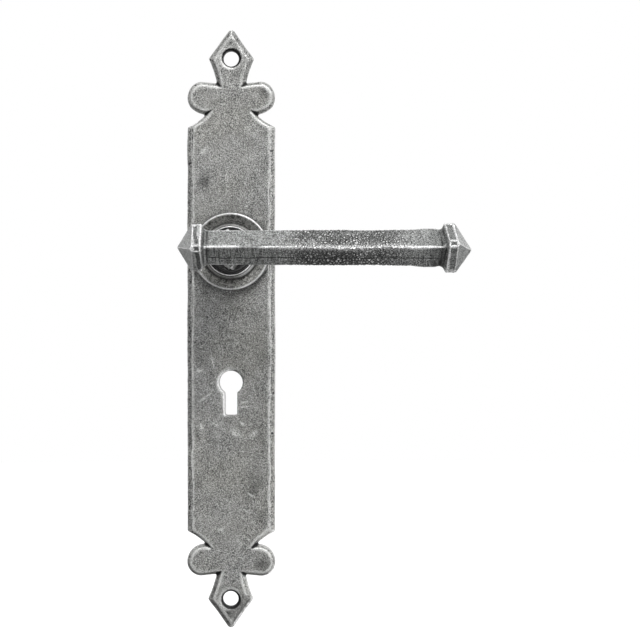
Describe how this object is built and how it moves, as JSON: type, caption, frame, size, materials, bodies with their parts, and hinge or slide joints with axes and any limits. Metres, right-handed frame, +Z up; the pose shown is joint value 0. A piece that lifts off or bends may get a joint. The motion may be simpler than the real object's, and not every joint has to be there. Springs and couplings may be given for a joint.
{
  "type": "lever lock handle",
  "caption": "Sprung lever handle on a long bevelled backplate with spear finials, round rose, keyhole and square spindle.",
  "frame": {"origin": "spindle axis on the face of the door, which is the back face of the plate", "axes": "+X along the lever, +Y into the door along the spindle, +Z up along the plate"},
  "size_m": [0.1214, 0.1378, 0.2612],
  "materials": {
    "plate_pewter": "pewter patina, fine cast grain, burnished edges",
    "rose_pewter": "pewter patina, darker in the recess, bright worn rims",
    "lever_pewter": "pewter patina, hammered and ground, bright worn ridges",
    "sleeve_steel": "turned steel",
    "spring_steel": "oiled spring steel",
    "zinc_steel": "bright zinc plate",
    "spindle_steel": "drawn steel bar",
    "bronze": "plain bearing bronze",
    "blackened_steel": "black oxide"
  },
  "bodies": {
    "backplate_assembly": {"backplate": "plate_pewter", "rose": "rose_pewter", "bearing_sleeve": "sleeve_steel", "return_spring": "spring_steel", "rear_cover": "zinc_steel", "rest_stop_pin": "spindle_steel", "travel_stop_pin": "spindle_steel", "rose_screw_1": "zinc_steel", "rose_screw_2": "zinc_steel", "rose_screw_3": "zinc_steel"},
    "lever_assembly": {"lever_handle": "lever_pewter", "square_spindle": "spindle_steel", "spindle_grub_screw": "blackened_steel", "drive_plate": "zinc_steel", "circlip": "spring_steel", "thrust_washer": "bronze"}
  },
  "joints": [
    {"name": "lever_turn", "type": "hinge", "parent": "backplate_assembly", "child": "lever_assembly", "pos_m": [0, 0, 0], "axis": [0, 1, 0], "range_deg": [0, 45], "stiffness_Nm_per_rad": 0.2, "springref_deg": -68.75, "deforming": ["return_spring"]}
  ]
}
